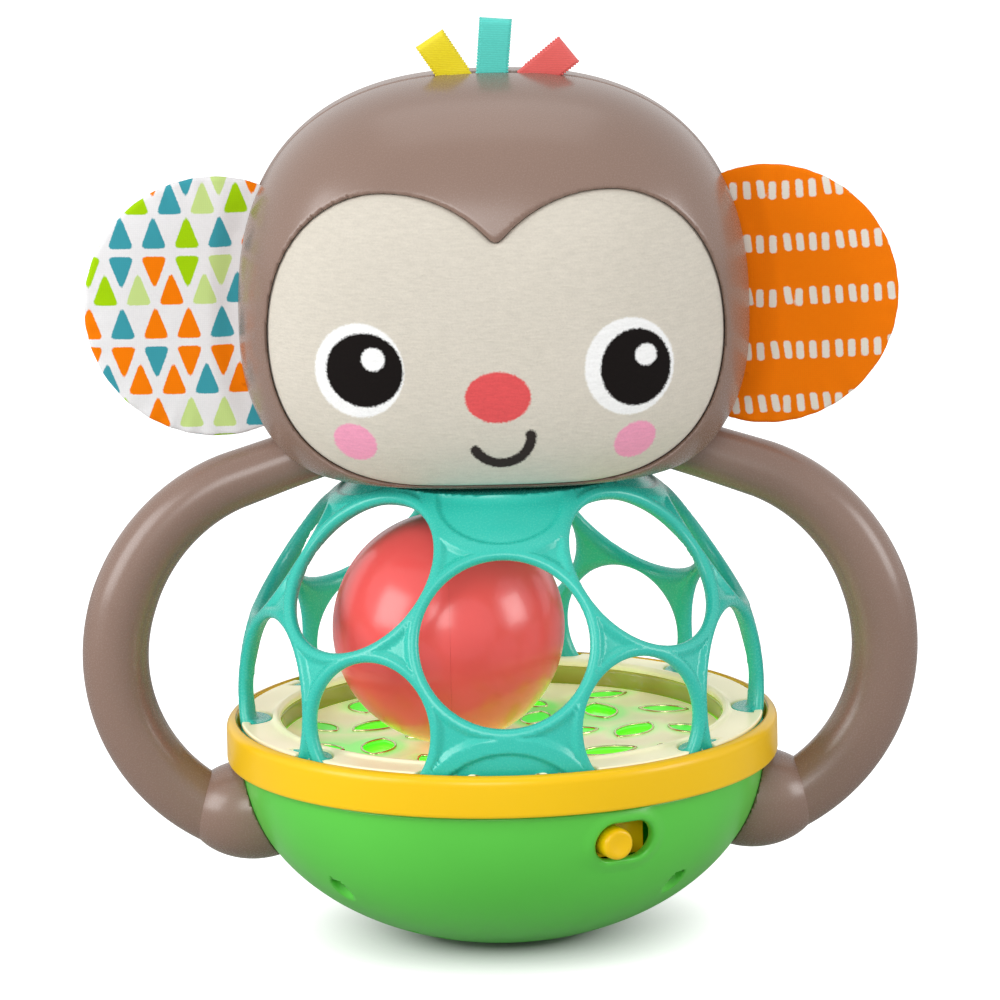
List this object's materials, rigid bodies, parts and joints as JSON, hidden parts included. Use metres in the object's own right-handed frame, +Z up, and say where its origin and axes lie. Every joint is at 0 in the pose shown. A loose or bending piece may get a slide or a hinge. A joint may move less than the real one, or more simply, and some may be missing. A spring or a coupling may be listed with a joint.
{
  "type": "roly-poly activity toy",
  "caption": "Monkey-headed roly-poly toy: openwork ball cage with a loose ball over a weighted light-up bowl, looped arm handles, cloth ears and ribbon loops.",
  "frame": {"origin": "middle of the flat foot under the bowl, on the surface the toy stands on", "axes": "+Z up through the ribbons, -Y out of the face, +X to the right of someone who looks at the face"},
  "size_m": [0.1604, 0.1064, 0.1787],
  "materials": {
    "green_abs": "moulded ABS, satin gloss",
    "yellow_abs": "moulded ABS, satin gloss",
    "teal_flex": "flexible moulded plastic, satin",
    "red_ball": "moulded plastic, polished",
    "brown_abs": "moulded ABS, fine satin",
    "amber_tray": "translucent amber plastic",
    "cream_plastic": "moulded plastic, satin",
    "white_backing": "stiff moulded sheet",
    "dark_plastic": "moulded plastic, plain",
    "face_plush": "short-pile plush, printed",
    "orange_cloth": "brushed cloth, printed dashes",
    "white_cloth": "plain cloth, printed triangles",
    "yellow_satin": "woven satin ribbon",
    "teal_satin": "woven satin ribbon",
    "coral_satin": "woven satin ribbon",
    "steel": "zinc-plated steel",
    "weight_iron": "cast, bare",
    "cell_wrap": "wrapped dry cell, plain",
    "board": "glass-epoxy board, green mask",
    "led_lens": "clear green epoxy"
  },
  "bodies": {
    "toy_body": {"bowl": "green_abs", "rim_ring": "yellow_abs", "cage": "teal_flex", "head_front_shell": "brown_abs", "head_rear_shell": "brown_abs", "left_arm": "brown_abs", "right_arm": "brown_abs", "left_hand": "brown_abs", "right_hand": "brown_abs", "light_tray": "amber_tray", "tray_collar": "cream_plastic", "window_disc": "cream_plastic", "face_backing": "white_backing", "battery_box": "dark_plastic", "switch_block": "dark_plastic", "speaker": "dark_plastic", "face_pad": "face_plush", "right_ear_tab": "orange_cloth", "left_ear_tab": "white_cloth", "ribbon_yellow_tail": "yellow_satin", "ribbon_teal_tail": "teal_satin", "ribbon_coral_tail": "coral_satin", "weight_screw": "steel", "left_hand_screw": "steel", "right_hand_screw": "steel", "contact_left": "steel", "contact_right": "steel", "neck_screw_1": "steel", "neck_screw_2": "steel", "neck_screw_3": "steel", "neck_screw_4": "steel", "base_screw_1": "steel", "base_screw_2": "steel", "base_screw_3": "steel", "base_screw_4": "steel", "head_screw_1": "steel", "head_screw_2": "steel", "head_screw_3": "steel", "head_screw_4": "steel", "board_screw_1": "steel", "board_screw_2": "steel", "counterweight": "weight_iron", "battery_lower": "cell_wrap", "battery_upper": "cell_wrap", "circuit_board": "board", "led_1": "led_lens", "led_2": "led_lens", "led_3": "led_lens"},
    "switch_slider": {"switch_knob": "yellow_abs"},
    "loose_ball": {"ball_left_half": "red_ball", "ball_right_half": "red_ball"},
    "right_ear_flap": {"right_ear": "orange_cloth"},
    "left_ear_flap": {"left_ear": "white_cloth"},
    "yellow_loop": {"ribbon_yellow": "yellow_satin"},
    "teal_loop": {"ribbon_teal": "teal_satin"},
    "coral_loop": {"ribbon_coral": "coral_satin"},
    "door": {"battery_door": "green_abs", "door_screw": "steel"}
  },
  "joints": [
    {"name": "switch_slide", "type": "slide", "parent": "toy_body", "child": "switch_slider", "axis": [0.8949, 0.4462, 0], "range_m": [0, 0.0046]},
    {"name": "ball_roll", "type": "hinge", "parent": "toy_body", "child": "loose_ball", "pos_m": [0, 0, 0.0613], "axis": [0, 0, 1], "continuous": true},
    {"name": "right_ear_flex", "type": "hinge", "parent": "toy_body", "child": "right_ear_flap", "pos_m": [0.0508, 0, 0.1235], "axis": [0, 0, 1], "range_deg": [-50, 50], "stiffness_Nm_per_rad": 0.004},
    {"name": "left_ear_flex", "type": "hinge", "parent": "toy_body", "child": "left_ear_flap", "pos_m": [-0.0508, 0, 0.1235], "axis": [0, 0, 1], "range_deg": [-50, 50], "stiffness_Nm_per_rad": 0.004},
    {"name": "yellow_loop_flex", "type": "hinge", "parent": "toy_body", "child": "yellow_loop", "pos_m": [-0.007, 0, 0.169], "axis": [1, 0, 0], "range_deg": [-60, 60], "stiffness_Nm_per_rad": 0.00005},
    {"name": "teal_loop_flex", "type": "hinge", "parent": "toy_body", "child": "teal_loop", "pos_m": [0.001, 0, 0.1691], "axis": [1, 0, 0], "range_deg": [-60, 60], "stiffness_Nm_per_rad": 0.00005},
    {"name": "coral_loop_flex", "type": "hinge", "parent": "toy_body", "child": "coral_loop", "pos_m": [0.0096, 0, 0.1689], "axis": [1, 0, 0], "range_deg": [-60, 60], "stiffness_Nm_per_rad": 0.00005},
    {"name": "battery_door_lift", "type": "slide", "parent": "toy_body", "child": "door", "axis": [0, 1, 0], "range_m": [0, 0.015]}
  ]
}
